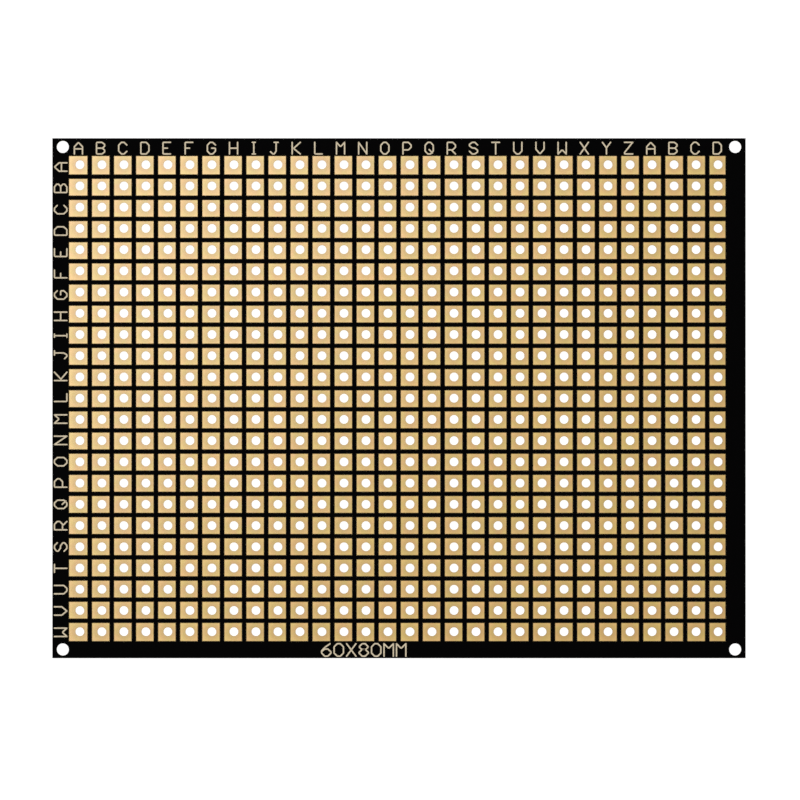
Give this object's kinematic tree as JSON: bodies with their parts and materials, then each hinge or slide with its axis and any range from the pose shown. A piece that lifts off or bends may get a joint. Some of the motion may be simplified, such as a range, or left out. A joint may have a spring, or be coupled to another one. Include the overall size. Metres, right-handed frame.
{
  "type": "prototype board",
  "caption": "Rectangular double sided circuit board with a full grid of square plated through pads for soldering trial circuits, and a small round hole in each corner.",
  "frame": {"origin": "middle of the board's outline, on its back face", "axes": "+X along the rows of pads, towards the picture's right; +Y across the rows, towards the edge that carries the column letters, which is the picture's top; +Z out of the front face, so the board lies flat on its back"},
  "size_m": [0.08, 0.06, 0.0016],
  "materials": {
    "laminate": "sawn glass fibre laminate, translucent, straw coloured at the edge",
    "solder_mask": "black solder mask, satin gloss",
    "gilt_copper": "copper with a thin gilt finish, satin",
    "index_ink": "cream printing ink, matt"
  },
  "bodies": {
    "root": {"laminate": "laminate", "mask_front": "solder_mask", "mask_back": "solder_mask", "pads_row_a": "gilt_copper", "pads_row_b": "gilt_copper", "pads_row_c": "gilt_copper", "pads_row_d": "gilt_copper", "pads_row_e": "gilt_copper", "pads_row_f": "gilt_copper", "pads_row_g": "gilt_copper", "pads_row_h": "gilt_copper", "pads_row_i": "gilt_copper", "pads_row_j": "gilt_copper", "pads_row_k": "gilt_copper", "pads_row_l": "gilt_copper", "pads_row_m": "gilt_copper", "pads_row_n": "gilt_copper", "pads_row_o": "gilt_copper", "pads_row_p": "gilt_copper", "pads_row_q": "gilt_copper", "pads_row_r": "gilt_copper", "pads_row_s": "gilt_copper", "pads_row_t": "gilt_copper", "pads_row_u": "gilt_copper", "pads_row_v": "gilt_copper", "pads_row_w": "gilt_copper"}
  },
  "joints": []
}
